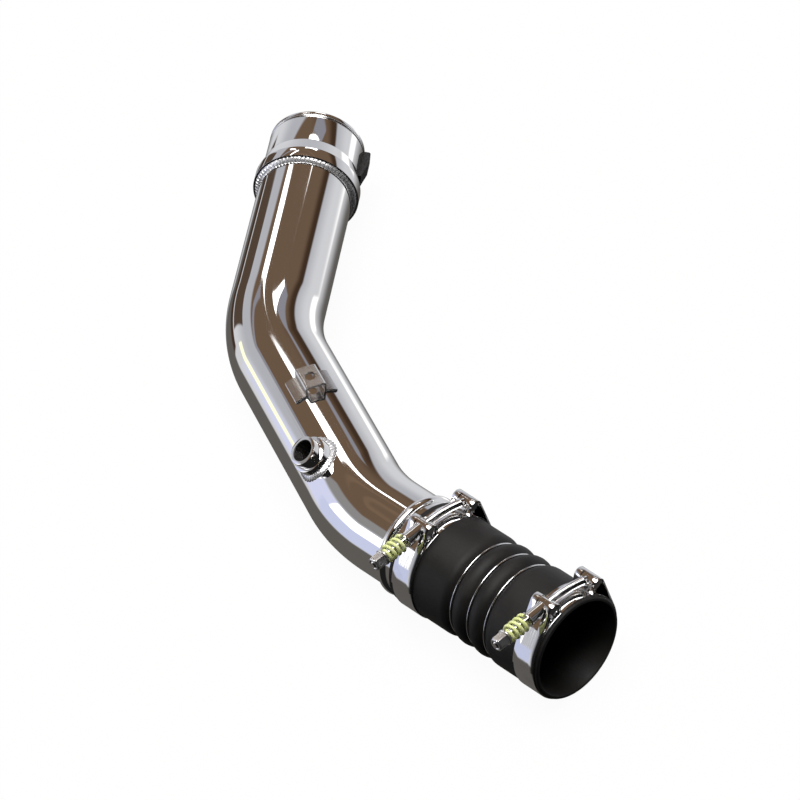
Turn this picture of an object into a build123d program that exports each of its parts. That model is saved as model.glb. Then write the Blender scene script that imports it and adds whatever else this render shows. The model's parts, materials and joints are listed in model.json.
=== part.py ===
from build123d import *
from math import atan2, cos, radians, sin, sqrt, tan
import os

# A polished, twice bent intercooler pipe with a push-on collar at one end and a clamped hose at the other.
# Lengths are in millimetres. The two bends lie in one level plane, +X is the way out of the hose, +Z is up.

# Pipe
PIPE_OD = 76.2
PIPE_WALL = 2.1
BEND_RADIUS = 127.0
COLLAR_BEND = 31.0
HOSE_BEND = 22.5
COLLAR_RUN = 186.0
MIDDLE_RUN = 149.0
HOSE_RUN = 84.0
BEAD_STATION = 31.3
BEAD_HEIGHT = 2.9
BEAD_RADIUS = 4.2

# Collar
COLLAR_LENGTH = 56.5
COLLAR_LIP = 0.65
COLLAR_BAND_RISE = 4.8
COLLAR_BAND_LENGTH = 10.1
COLLAR_CONE_LENGTH = 13.4
COLLAR_EDGE = 0.8
PIPE_SEAT_DEPTH = 11.0
SOCKET_RADIUS_DROP = 3.2
SOCKET_DEPTH = 36.0
SOCKET_STOP_DROP = 1.7
SOCKET_STOP_LENGTH = 5.0
SOCKET_LEAD = 1.2
WELD_LEG = 3.2

# Retaining clip and seal of the collar
CLIP_STATION = 4.4
CLIP_WIRE = 2.1
CLIP_GROOVE_STATION = 4.9
CLIP_GROOVE_WIDTH = 3.4
CLIP_GROOVE_DEPTH = 2.0
CLIP_OPENING = 28.0
CLIP_WINDOWS = 3
CLIP_WINDOW_WIDTH = 11.0
CLIP_WINDOW_TURN = 60.0
SEAL_STATION = 18.8
SEAL_SECTION = 2.4
SEAL_GROOVE_WIDTH = 3.2

# Locating tab
TAB_ANGLE = 14.0
TAB_START = 3.6
TAB_LENGTH = 28.0
TAB_TAPER = 14.0
TAB_RISE = 5.2
TAB_TIP_RISE = 1.8
TAB_ROOT = 2.0
TAB_WIDTH = 12.0
TAB_CORNER = 1.2

# Bracket
BRACKET_STATION = 65.0
BRACKET_LEAN = 6.5
BRACKET_LENGTH = 23.2
BRACKET_WIDTH = 16.9
BRACKET_HEIGHT = 8.4
BRACKET_SHEET = 1.8
BRACKET_FOOT = 8.4
BRACKET_HOLE = 9.0
BRACKET_BEND = 2.4

# Sensor bung, M18 x 1.5 drilled at its minor diameter
BUNG_STATION = 134.0
BUNG_LEAN = 31.5
BUNG_HEIGHT = 15.0
BUNG_NOSE_OD = 23.0
BUNG_BASE_OD = 29.0
BUNG_BASE_HEIGHT = 7.5
BUNG_BORE = 16.4
BUNG_MOUTH = 0.5
BUNG_EDGE = 0.5
BUNG_WELD_WIDTH = 4.2
BUNG_WELD_HEIGHT = 2.6

# Hose
HOSE_WALL = 3.2
HOSE_START = 41.6
HOSE_END = 195.6
RING_STATION = 103.6
RING_PITCH = 17.3
RING_COUNT = 3
RING_WIRE = 1.6
VALLEY_DEPTH = 4.2
VALLEY_FLOOR = 2.0
HOSE_EDGE = 1.4

# Hose clamps
CLAMP_STATIONS = {"inner_clamp": 57.1, "outer_clamp": 182.7}
CLAMP_LEAN = 2.5
BAND_WIDTH = 20.0
BAND_SHEET = 0.9
BAND_EASE = 0.1
BAND_LAP = 26.0
BAND_LAP_LEAD = 8.0
BOLT_OD = 6.35
BOLT_RISE = 5.5
BOLT_BEND_START = 8.0
BARREL_OD = 9.0
BARREL_LENGTH = 16.0
BARREL_HOLE_CLEARANCE = 0.2
HEAD_TURN = 23.6
BARREL_OFFSET = 12.5
SLEEVE_OD = 9.2
SLEEVE_END = 32.0
SLEEVE_SHOULDER_OD = 11.6
SLEEVE_SHOULDER = 1.6
SLOT_CLEARANCE = 0.2
SLOT_DROP = 11.0
SPRING_LENGTH = 20.4
SPRING_MEAN_OD = 11.4
SPRING_WIRE = 2.6
SPRING_TURNS = 4
SPRING_WIRE_SIDES = 8
NUT_SIDES = 6
NUT_FLATS = 10.0
NUT_LENGTH = 8.8
NUT_FLANGE_OD = 12.6
NUT_FLANGE = 1.6
BOLT_END = 0.9
BRIDGE_SHEET = 0.6

# A full circle, and how far cuts run past the faces they open
FULL_TURN = 360.0
CUT_MARGIN = 1.0

# Radii that follow from the sizes above
pipe_radius = PIPE_OD / 2
bore_radius = pipe_radius - PIPE_WALL
spigot_radius = pipe_radius + COLLAR_LIP
collar_band_radius = pipe_radius + COLLAR_BAND_RISE
socket_radius = pipe_radius - SOCKET_RADIUS_DROP
hose_radius = pipe_radius + HOSE_WALL
band_inside = hose_radius + BAND_EASE
band_radius = band_inside + BAND_SHEET
bolt_height = band_radius + BOLT_RISE
barrel_radius = BARREL_OD / 2


def level(angle):
    """Unit vector in the level plane, pointing back from the hose at this turn."""
    return Vector(-cos(radians(angle)), sin(radians(angle)), 0)


# Centre line, worked back from the end of the second bend, which is the working origin
collar_tangent = BEND_RADIUS * tan(radians(COLLAR_BEND / 2))
hose_tangent = BEND_RADIUS * tan(radians(HOSE_BEND / 2))
middle_back = level(HOSE_BEND)
collar_back = level(HOSE_BEND + COLLAR_BEND)
hose_corner = Vector(-hose_tangent, 0, 0)
collar_corner = hose_corner + middle_back * (hose_tangent + MIDDLE_RUN + collar_tangent)
collar_rim = collar_corner + collar_back * (collar_tangent + COLLAR_RUN)
pipe_start = collar_rim - collar_back * (COLLAR_LENGTH - PIPE_SEAT_DEPTH)
middle_start = collar_corner - middle_back * collar_tangent
pipe_end = Vector(HOSE_RUN, 0, 0)

collar_frame = Plane(collar_rim, x_dir=-collar_back, z_dir=(0, 0, 1)).location
middle_frame = Plane(middle_start, x_dir=-middle_back, z_dir=(0, 0, 1)).location
centre_line = FilletPolyline(pipe_start, collar_corner, hose_corner, pipe_end, radius=BEND_RADIUS)


def swept(radius):
    """Solid rod of this radius along the whole centre line."""
    section = Plane(pipe_start, z_dir=-collar_back) * Circle(radius)
    return sweep(section, path=centre_line)


def turned(*points):
    """Solid of revolution about X from station and radius pairs."""
    return revolve(make_face(Polyline(*points, close=True)), Axis.X)


def ring(station, mean_radius, section, arc=FULL_TURN):
    """Round wire bent into a ring about X."""
    return revolve(Pos(station, mean_radius) * Circle(section / 2), Axis.X, arc)


def groove(station, width, inner, outer):
    """Ring-shaped cut about X between two radii."""
    low, high = station - width / 2, station + width / 2
    return turned((low, inner), (high, inner), (high, outer), (low, outer))


def block(low, high):
    """Box between two opposite corners."""
    size = [b - a for a, b in zip(low, high)]
    middle = [(a + b) / 2 for a, b in zip(low, high)]
    return Pos(*middle) * Box(*size)


def patch(low, high):
    """Flat rectangle between two opposite corners."""
    size = [b - a for a, b in zip(low, high)]
    middle = [(a + b) / 2 for a, b in zip(low, high)]
    return Pos(*middle) * Rectangle(*size)


def bead_hump(surface_radius):
    """Rolled bump that stands out of a surface of this radius."""
    crest = surface_radius + BEAD_HEIGHT - BEAD_RADIUS
    return ring(BEAD_STATION, crest, 2 * BEAD_RADIUS)


# Pipe with its rolled bead, and the solid rods that its neighbours are fitted to
pipe_outside = swept(pipe_radius)
bung_frame = middle_frame * Pos(BUNG_STATION, 0, 0) * Rot(BUNG_LEAN, 0, 0)
bung_reach = pipe_radius + BUNG_HEIGHT
bung_bore = bung_frame * extrude(Circle(BUNG_BORE / 2), bung_reach)
pipe = pipe_outside + bead_hump(pipe_radius)
pipe -= swept(bore_radius) + bead_hump(bore_radius)
pipe -= bung_bore

# Collar turned from bar, with the clip groove outside and the seal groove inside
cone_end = COLLAR_LENGTH - COLLAR_BAND_LENGTH
cone_start = cone_end - COLLAR_CONE_LENGTH
seat = COLLAR_LENGTH - PIPE_SEAT_DEPTH
stop_radius = socket_radius - SOCKET_STOP_DROP
stop_end = SOCKET_DEPTH + SOCKET_STOP_LENGTH
collar_outside = turned(
    (0, 0),
    (0, spigot_radius - COLLAR_EDGE),
    (COLLAR_EDGE, spigot_radius),
    (cone_start, spigot_radius),
    (cone_end, collar_band_radius),
    (COLLAR_LENGTH, collar_band_radius),
    (COLLAR_LENGTH, 0),
)
collar_inside = turned(
    (0, 0),
    (0, socket_radius + SOCKET_LEAD),
    (SOCKET_LEAD, socket_radius),
    (SOCKET_DEPTH, socket_radius),
    (SOCKET_DEPTH, stop_radius),
    (stop_end, stop_radius),
    (seat, bore_radius),
    (seat, pipe_radius),
    (COLLAR_LENGTH, pipe_radius),
    (COLLAR_LENGTH, 0),
)
clip_floor = spigot_radius - CLIP_GROOVE_DEPTH
seal_floor = socket_radius + SEAL_SECTION
collar = collar_outside - collar_inside
collar -= groove(CLIP_GROOVE_STATION, CLIP_GROOVE_WIDTH, clip_floor, spigot_radius + CUT_MARGIN)
collar -= groove(SEAL_STATION, SEAL_GROOVE_WIDTH, socket_radius - CUT_MARGIN, seal_floor)
window = block(
    (CLIP_STATION - CLIP_WIRE / 2, -CLIP_WINDOW_WIDTH / 2, socket_radius - CUT_MARGIN),
    (CLIP_STATION + CLIP_WIRE / 2, CLIP_WINDOW_WIDTH / 2, spigot_radius + CUT_MARGIN),
)
for number in range(CLIP_WINDOWS):
    collar -= Rot(FULL_TURN / CLIP_WINDOWS * number + CLIP_WINDOW_TURN, 0, 0) * window

retaining_clip = ring(CLIP_STATION, clip_floor + CLIP_WIRE / 2, CLIP_WIRE, FULL_TURN - CLIP_OPENING)
collar_seal = ring(SEAL_STATION, seal_floor - SEAL_SECTION / 2, SEAL_SECTION)
weld_toe = patch((COLLAR_LENGTH, pipe_radius), (COLLAR_LENGTH + WELD_LEG, pipe_radius + WELD_LEG))
collar_weld = revolve(Pos(COLLAR_LENGTH, pipe_radius) * Circle(WELD_LEG) & weld_toe, Axis.X)

# Locating tab, fitted to the outside of the collar
tab_side = make_face(
    Polyline(
        (TAB_START, spigot_radius - TAB_ROOT),
        (TAB_START, spigot_radius + TAB_RISE - TAB_CORNER),
        (TAB_START + TAB_CORNER, spigot_radius + TAB_RISE),
        (TAB_START + TAB_LENGTH - TAB_TAPER, spigot_radius + TAB_RISE),
        (TAB_START + TAB_LENGTH, spigot_radius + TAB_TIP_RISE),
        (TAB_START + TAB_LENGTH, spigot_radius - TAB_ROOT),
        close=True,
    )
)
locating_tab = Rot(-TAB_ANGLE, 0, 0) * extrude(tab_side, TAB_WIDTH / 2, both=True) - collar_outside

# Bracket folded from sheet, with curved feet that lie on the pipe
bracket_top = pipe_radius + BRACKET_HEIGHT
bracket_half = BRACKET_WIDTH / 2
bracket_reach = bracket_half + BRACKET_FOOT
hat = patch((-bracket_half, 0), (bracket_half, bracket_top))
hat = fillet(hat.vertices().group_by(Axis.Y)[-1], BRACKET_BEND)
hollow_half = bracket_half - BRACKET_SHEET
hollow = patch((-hollow_half, -CUT_MARGIN), (hollow_half, bracket_top - BRACKET_SHEET))
hollow = fillet(hollow.vertices().group_by(Axis.Y)[-1], BRACKET_BEND - BRACKET_SHEET)
feet_span = patch((-bracket_reach, 0), (bracket_reach, bracket_top))
feet = (Circle(pipe_radius + BRACKET_SHEET) - Circle(pipe_radius)) & feet_span
bracket_section = (hat + feet - hollow) - Circle(pipe_radius)
bracket = extrude(Plane.YZ * bracket_section, BRACKET_LENGTH / 2, both=True)
bracket -= Pos(0, 0, pipe_radius) * extrude(Circle(BRACKET_HOLE / 2), BRACKET_HEIGHT + CUT_MARGIN)
bracket_frame = middle_frame * Pos(BRACKET_STATION, 0, 0) * Rot(-BRACKET_LEAN, 0, 0)

# Sensor bung, saddle cut to the pipe, and the weld round its base
bung_nose = Circle(BUNG_NOSE_OD / 2)
bung_body = extrude(bung_nose, bung_reach) + extrude(Circle(BUNG_BASE_OD / 2), pipe_radius + BUNG_BASE_HEIGHT)
bung_body = chamfer(bung_body.faces().sort_by(Axis.Z)[-1].edges(), BUNG_EDGE)
bung_mouth = Pos(0, 0, bung_reach - BUNG_MOUTH) * Cone(
    BUNG_BORE / 2, BUNG_BORE / 2 + BUNG_MOUTH, BUNG_MOUTH, align=(Align.CENTER, Align.CENTER, Align.MIN)
)
saddle_length = 3 * BUNG_BASE_OD
saddle_rod = Rot(0, 90, 0) * Cylinder(pipe_radius, saddle_length)
weld_crown = Rot(0, 90, 0) * Cylinder(pipe_radius + BUNG_WELD_HEIGHT, saddle_length)
weld_wall = Circle(BUNG_BASE_OD / 2 + BUNG_WELD_WIDTH) - Circle(BUNG_BASE_OD / 2)
sensor_bung = bung_body - bung_mouth - extrude(Circle(BUNG_BORE / 2), bung_reach) - saddle_rod
bung_weld = (extrude(weld_wall, bung_reach) & weld_crown) - saddle_rod

# Hose with a bellows in the middle and a steel wire ring in each valley
valley_radius = hose_radius - VALLEY_DEPTH
hump_reach = (RING_PITCH - VALLEY_FLOOR) / 2
hump_radius = (hump_reach**2 + VALLEY_DEPTH**2) / (2 * VALLEY_DEPTH)
ring_stations = [RING_STATION + RING_PITCH * number for number in range(RING_COUNT)]
first_hump = ring_stations[0] - RING_PITCH / 2
last_hump = ring_stations[-1] + RING_PITCH / 2


def hose_outline(shrink):
    """Half section of the hose, in from its outside by this much."""
    cuff = hose_radius - shrink
    shape = patch((HOSE_START, 0), (first_hump, cuff)) + patch((last_hump, 0), (HOSE_END, cuff))
    shape += patch((first_hump, 0), (last_hump, valley_radius - shrink))
    for number in range(RING_COUNT + 1):
        hump = Pos(first_hump + RING_PITCH * number, hose_radius - hump_radius) * Circle(hump_radius - shrink)
        shape += hump & patch((HOSE_START, 0), (HOSE_END, cuff + CUT_MARGIN))
    return shape


hose_section = hose_outline(0) - hose_outline(HOSE_WALL)
hose = revolve(hose_section, Axis.X)
end_circles = hose.edges().filter_by(GeomType.CIRCLE).group_by(Axis.X)
outer_ends = [max(end_circles[0], key=lambda e: e.radius), max(end_circles[-1], key=lambda e: e.radius)]
hose = fillet(outer_ends, HOSE_EDGE)

nodes = {
    "pipe": pipe,
    "collar": collar_frame * collar,
    "collar_weld": collar_frame * collar_weld,
    "collar_seal": collar_frame * collar_seal,
    "retaining_clip": collar_frame * retaining_clip,
    "locating_tab": collar_frame * locating_tab,
    "bracket": bracket_frame * bracket,
    "sensor_bung": bung_frame * sensor_bung,
    "bung_weld": bung_frame * bung_weld,
    "hose": hose,
}
for number, station in enumerate(ring_stations, 1):
    nodes[f"hose_ring_{number}"] = ring(station, valley_radius + RING_WIRE / 2, RING_WIRE)


# Clamp band, folded up at each side of its gap into a loop that holds a barrel
loop_outside = barrel_radius + BAND_SHEET
lap_radius = band_radius + BAND_SHEET
lap_steps = [radians(step) for step in (BAND_LAP_LEAD, -BAND_LAP / 2, -BAND_LAP)]


def loop_section():
    """Band end wrapped round the barrel on the right, with its end laid back along the band."""
    centre = Vector(BARREL_OFFSET, bolt_height)
    step_in = lap_radius - loop_outside
    turn = atan2(bolt_height, BARREL_OFFSET) - atan2(sqrt(centre.length**2 - step_in**2), step_in)
    way = Vector(cos(turn), sin(turn))
    strip_end = (centre + way * loop_outside, centre + way * barrel_radius)
    strip = Polyline(way * band_radius, way * lap_radius, *strip_end, close=True)
    wrap = Pos(centre) * (Circle(loop_outside) - Circle(barrel_radius))
    wrap -= patch((BARREL_OFFSET - loop_outside, bolt_height - loop_outside), (BARREL_OFFSET, bolt_height))
    clear = 2 * loop_outside
    cut_corners = (way * clear, Vector(clear, -clear), Vector(0, -clear))
    wrap -= make_face(Polyline(centre, *[centre + corner for corner in cut_corners], close=True))
    wall = patch((BARREL_OFFSET - loop_outside, 0), (BARREL_OFFSET - barrel_radius, bolt_height))
    lap_way = [Vector(cos(turn + step), sin(turn + step)) * 2 * lap_radius for step in lap_steps]
    lap_over = (Circle(lap_radius) - Circle(band_radius)) & make_face(Polyline((0, 0), *lap_way, close=True))
    return make_face(strip) + wrap + wall + lap_over - Circle(band_radius)


def along_bolt(start, length, sketch):
    """Sketch pushed out along the bolt, from this far past its middle towards the nut."""
    return Pos(0, -start, bolt_height) * extrude(Plane.XZ * sketch, length)


def clamp_parts():
    """Pieces of one clamp about X, with the bolt level above the hose and its nut towards -Y."""
    to_head = Rot(0, 0, -HEAD_TURN)
    gap_side = BARREL_OFFSET - loop_outside
    gap_reach = 2 * band_radius
    gap = patch((-gap_side, 0), (gap_reach, gap_reach))
    gap &= to_head * patch((-gap_reach, 0), (gap_side, gap_reach))
    band_loop = Circle(band_radius) - Circle(band_inside) - gap
    slot_half = SLEEVE_OD / 2 + SLOT_CLEARANCE
    slot = block((-slot_half, 0, bolt_height - SLOT_DROP), (slot_half, BARREL_OFFSET, bolt_height + slot_half))
    head_loop = extrude(Plane.YZ * loop_section(), BAND_WIDTH / 2, both=True)
    nut_slot = block((-slot_half, 0, bolt_height - SLOT_DROP), (slot_half, gap_reach, bolt_height + slot_half))
    band = Rot(-HEAD_TURN, 0, 0) * (head_loop - slot)
    band += mirror(head_loop - nut_slot, Plane.XZ)
    band += extrude(Plane.YZ * band_loop, BAND_WIDTH / 2, both=True)
    bridge_section = (Circle(band_inside + BRIDGE_SHEET) - Circle(band_inside)) & gap
    bridge = extrude(Plane.YZ * bridge_section, BAND_WIDTH / 2, both=True)

    bar = Rot(0, 90, 0) * Cylinder(barrel_radius, BARREL_LENGTH)
    barrel = Pos(0, -BARREL_OFFSET, bolt_height) * bar
    head_spot = (Rot(-HEAD_TURN, 0, 0) * Pos(0, BARREL_OFFSET, bolt_height)).position
    spring_end = SLEEVE_END + SPRING_LENGTH
    nut_end = spring_end + NUT_FLANGE + NUT_LENGTH
    shank = Circle(BOLT_OD / 2)
    bend_start, bend_end = (-BOLT_BEND_START, bolt_height), (head_spot.Y, head_spot.Z)
    bent_shank = Plane.YZ * TangentArc(bend_start, bend_end, tangent=(1, 0))
    t_bolt = Pos(head_spot) * bar + sweep(Plane(bent_shank @ 0, z_dir=bent_shank % 0) * shank, path=bent_shank)
    t_bolt += along_bolt(BOLT_BEND_START, nut_end + BOLT_END - BOLT_BEND_START, shank)
    trunnion = barrel - along_bolt(0, SLEEVE_END, Circle(BOLT_OD / 2 + BARREL_HOLE_CLEARANCE))
    sleeve = along_bolt(BARREL_OFFSET, SLEEVE_END - BARREL_OFFSET, Circle(SLEEVE_OD / 2) - shank)
    shoulder = Circle(SLEEVE_SHOULDER_OD / 2) - shank
    sleeve += along_bolt(SLEEVE_END - SLEEVE_SHOULDER, SLEEVE_SHOULDER, shoulder)
    sleeve -= barrel
    coil_length = SPRING_LENGTH - SPRING_WIRE
    coil = Helix(coil_length / SPRING_TURNS, coil_length, SPRING_MEAN_OD / 2)
    coil_wire = RegularPolygon(SPRING_WIRE / 2, SPRING_WIRE_SIDES)
    spring = sweep(Plane(coil @ 0, z_dir=coil % 0) * coil_wire, path=coil, is_frenet=True)
    spring = Pos(0, -SLEEVE_END - SPRING_WIRE / 2, bolt_height) * Rot(90, 0, 0) * spring
    nut = along_bolt(spring_end, NUT_FLANGE, Circle(NUT_FLANGE_OD / 2) - shank)
    flats = RegularPolygon(NUT_FLATS / 2, NUT_SIDES, major_radius=False)
    nut += along_bolt(spring_end + NUT_FLANGE, NUT_LENGTH, flats - shank)
    return {
        "band": band,
        "bridge": bridge,
        "t_bolt": t_bolt,
        "trunnion": trunnion,
        "sleeve": sleeve,
        "spring": spring,
        "nut": nut,
    }


for name, station in CLAMP_STATIONS.items():
    for piece, shape in clamp_parts().items():
        nodes[f"{name}_{piece}"] = Pos(station, 0, 0) * Rot(-CLAMP_LEAN, 0, 0) * shape

# The whole part stands on the floor, centred over the origin
box = Compound(children=[Compound(list(shape.solids())) for shape in nodes.values()]).bounding_box()
placing = Pos(-(box.min.X + box.max.X) / 2, -(box.min.Y + box.max.Y) / 2, -box.min.Z)
os.makedirs("parts", exist_ok=True)
for name, shape in nodes.items():
    export_step(placing * shape, f"parts/{name}.step")
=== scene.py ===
import json
from math import acos, atan2, cos, degrees, hypot, pi, radians, sin, sqrt

import bmesh
import bpy
from bpy.props import FloatProperty, FloatVectorProperty, IntProperty, PointerProperty
from mathutils import Matrix, Vector


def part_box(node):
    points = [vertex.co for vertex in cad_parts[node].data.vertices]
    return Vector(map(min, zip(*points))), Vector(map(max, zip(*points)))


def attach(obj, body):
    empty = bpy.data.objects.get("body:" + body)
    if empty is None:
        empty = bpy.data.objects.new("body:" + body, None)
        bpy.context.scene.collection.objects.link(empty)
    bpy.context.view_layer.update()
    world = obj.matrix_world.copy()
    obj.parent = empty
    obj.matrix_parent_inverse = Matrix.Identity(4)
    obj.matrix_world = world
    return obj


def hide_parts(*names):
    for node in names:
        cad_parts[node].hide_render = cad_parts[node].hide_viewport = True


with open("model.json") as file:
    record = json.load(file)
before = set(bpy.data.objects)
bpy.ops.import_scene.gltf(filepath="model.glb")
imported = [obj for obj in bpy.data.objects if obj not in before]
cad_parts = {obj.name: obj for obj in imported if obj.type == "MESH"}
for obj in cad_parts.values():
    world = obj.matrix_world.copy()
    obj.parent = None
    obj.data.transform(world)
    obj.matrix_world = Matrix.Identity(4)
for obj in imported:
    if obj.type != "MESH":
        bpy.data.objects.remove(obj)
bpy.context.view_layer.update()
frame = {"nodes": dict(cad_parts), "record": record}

bl_info = {
    "name": "Intercooler pipe",
    "version": (1, 0, 0),
    "blender": (4, 5, 0),
    "location": "View3D > Sidebar > Pipe",
    "description": "Dresses the bent charge air pipe, its collar, hose and clamps, and sets the studio",
    "category": "Object",
}

MOUNTS = {mount["name"]: mount for mount in frame["record"]["mounts"]}
MM = 0.001
FINE = 0.25 * MM
STATION_STEP = 2.0 * MM


# Property helpers
def size(name, millimetres, description):
    """A length in metres, given in millimetres."""
    return FloatProperty(name=name, description=description, default=millimetres * MM,
                         subtype="DISTANCE", precision=5)


def turn(name, angle, description):
    """An angle, given in degrees."""
    return FloatProperty(name=name, description=description, default=radians(angle), subtype="ANGLE")


def tint(name, colour, description):
    """A linear colour."""
    return FloatVectorProperty(name=name, description=description, default=colour,
                               size=3, subtype="COLOR", max=20.0)


def ratio(name, value, description):
    """A plain number."""
    return FloatProperty(name=name, description=description, default=value)


class PipeSizes(bpy.types.PropertyGroup):
    """Sizes of the pipe, its collar and what is welded to it."""

    tube: size("Tube radius", 38.1, "Outside radius of the pipe")
    bore: size("Bore radius", 36.0, "Inside radius of the pipe")
    bend: size("Bend radius", 127.0, "Centre line radius of both bends")
    collar_bend: turn("Collar bend", 31.0, "Turn of the bend by the collar")
    hose_bend: turn("Hose bend", 22.5, "Turn of the bend by the hose")
    collar_run: size("Collar run", 186.0, "From the collar's rim to the first bend")
    middle_run: size("Middle run", 149.0, "Straight between the bends")
    hose_run: size("Hose run", 84.0, "From the second bend to the end inside the hose")
    bead_station: size("Bead station", 31.3, "From the second bend to the rolled bead")
    bead_height: size("Bead height", 2.9, "How far the bead stands out")
    bead_round: size("Bead radius", 4.2, "Radius of the bead's crown")
    collar_length: size("Collar length", 56.5, "Rim to weld")
    collar_seat: size("Pipe seat", 11.0, "How far the pipe goes into the collar")
    spigot: size("Rim radius", 38.75, "Outside radius of the collar by its rim")
    collar_band: size("Band radius", 42.9, "Outside radius of the collar by its weld")
    band_length: size("Band length", 10.1, "Length of the collar's wide band")
    cone_length: size("Cone length", 13.4, "Length of the collar's cone")
    socket: size("Socket radius", 34.9, "Inside radius of the collar")
    socket_depth: size("Socket depth", 36.0, "Depth to the stop")
    clip_station: size("Clip station", 4.4, "Rim to the clip's middle")
    groove_station: size("Clip groove station", 4.9, "Rim to the middle of the clip's groove")
    clip_wire: size("Clip wire", 2.1, "Thickness of the clip's wire")
    clip_groove: size("Clip groove", 3.4, "Width of the clip's groove")
    clip_depth: size("Clip groove depth", 2.0, "Depth of the clip's groove")
    clip_opening: turn("Clip opening", 28.0, "Gap between the clip's ends")
    seal_station: size("Seal station", 18.8, "Rim to the seal's middle")
    seal_section: size("Seal section", 2.4, "Thickness of the seal")
    seal_groove: size("Seal groove", 3.2, "Width of the seal's groove")
    stop_drop: size("Stop drop", 1.7, "How far the stop stands in from the socket")
    stop_cone: size("Stop cone", 5.0, "Length of the cone behind the stop")
    lead: size("Lead", 1.2, "Bevel at the socket's mouth")
    rim_edge: size("Rim edge", 0.8, "Bevel on the outside of the rim")
    weld_leg: size("Weld leg", 3.2, "Leg of the collar's weld")
    bung_nose: size("Bung nose radius", 11.5, "Outside radius of the bung's nose")
    bung_base: size("Bung base radius", 14.5, "Outside radius of the bung's base")
    bung_height: size("Bung height", 15.0, "Height of the bung over the pipe")
    bung_base_height: size("Bung base height", 7.5, "Height of the bung's base")
    bung_bore: size("Bung bore radius", 8.2, "Radius of the bung's thread")
    bung_mouth: size("Bung mouth", 0.5, "Bevel at the mouth of the bung")
    bung_pitch: size("Bung thread pitch", 1.5, "Pitch of the bung's thread")
    bung_weld: size("Bung weld width", 4.2, "Width of the weld round the bung")


class HoseSizes(bpy.types.PropertyGroup):
    """Sizes of the hose and of one clamp."""

    cuff: size("Cuff radius", 41.3, "Outside radius of the hose")
    wall: size("Wall", 3.2, "Thickness of the hose")
    start: size("Hose start", 41.6, "From the second bend to the hose")
    end: size("Hose end", 195.6, "From the second bend to the hose's open end")
    first_ring: size("First ring", 103.6, "From the second bend to the first wire ring")
    pitch: size("Ring pitch", 17.3, "Between wire rings")
    rings: IntProperty(name="Rings", description="Number of wire rings", default=3, min=1)
    ring_wire: size("Ring wire", 1.6, "Thickness of a wire ring")
    valley: size("Valley depth", 4.2, "Depth of the bellows")
    floor: size("Valley floor", 2.0, "Width of a valley's floor")
    edge: size("End round", 1.4, "Rounding of the hose's ends")
    lean: turn("Clamp lean", 2.5, "How far the clamps lean over")
    band_inside: size("Band inside", 41.4, "Inside radius of a clamp's band")
    band_width: size("Band width", 20.0, "Width of a clamp's band")
    band_sheet: size("Band sheet", 0.9, "Thickness of a clamp's band")
    lap: turn("Lap", 26.0, "How far the band's end lies back along itself")
    bolt_height: size("Bolt height", 47.8, "Bolt's middle above the hose's middle")
    bolt: size("Bolt radius", 3.175, "Radius of the bolt")
    bolt_pitch: size("Bolt pitch", 1.1, "Pitch of the bolt's thread")
    barrel: size("Barrel radius", 4.5, "Radius of the trunnion and of the bolt's head")
    barrel_length: size("Barrel length", 16.0, "Length of the trunnion and of the bolt's head")
    barrel_offset: size("Barrel offset", 12.5, "Each barrel from the middle line of its loop")
    head_turn: turn("Head turn", 23.6, "How far the head's loop lies round the hose")
    bend_start: size("Bend start", 8.0, "Where the bolt begins to bend down to its head")
    sleeve: size("Sleeve radius", 4.6, "Radius of the sleeve")
    sleeve_end: size("Sleeve end", 32.0, "Sleeve's end from the clamp's middle")
    shoulder: size("Shoulder radius", 5.8, "Radius of the sleeve's shoulder")
    shoulder_length: size("Shoulder length", 1.6, "Thickness of the sleeve's shoulder")
    slot_drop: size("Slot drop", 11.0, "How far the band's slot reaches below the bolt")
    spring_length: size("Spring length", 20.4, "Length of the spring")
    spring_mean: size("Spring radius", 5.7, "Mean radius of the spring")
    spring_wire: size("Spring wire", 2.6, "Thickness of the spring's wire")
    spring_turns: ratio("Spring turns", 4.0, "Turns of the spring")
    nut_flats: size("Nut flats", 10.0, "Across the flats of the nut")
    nut_length: size("Nut length", 8.8, "Length of the nut")
    flange: size("Nut flange radius", 6.3, "Radius of the nut's flange")
    flange_length: size("Nut flange", 1.6, "Thickness of the nut's flange")
    bolt_end: size("Bolt end", 0.9, "How far the bolt stands out of its nut")


class FinishColours(bpy.types.PropertyGroup):
    """Colours of the finishes, as linear values."""

    polished: tint("Polished metal", (0.93, 0.92, 0.91), "Mirror polished pipe and collar")
    weld: tint("Weld", (0.83, 0.83, 0.84), "Weld beads")
    steel: tint("Clamp steel", (0.86, 0.855, 0.85), "Bright clamp steel")
    wire: tint("Wire", (0.82, 0.82, 0.82), "Wire rings and clip")
    spring: tint("Spring", (0.80, 0.86, 0.34), "Yellow-green zinc on the springs")
    hose: tint("Hose", (0.0085, 0.0078, 0.0072), "Black silicone")
    hose_worn: tint("Hose bloom", (0.016, 0.0142, 0.0128), "Paler bloom on the silicone")
    tab: tint("Tab", (0.006, 0.006, 0.006), "Black moulded tab")


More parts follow.
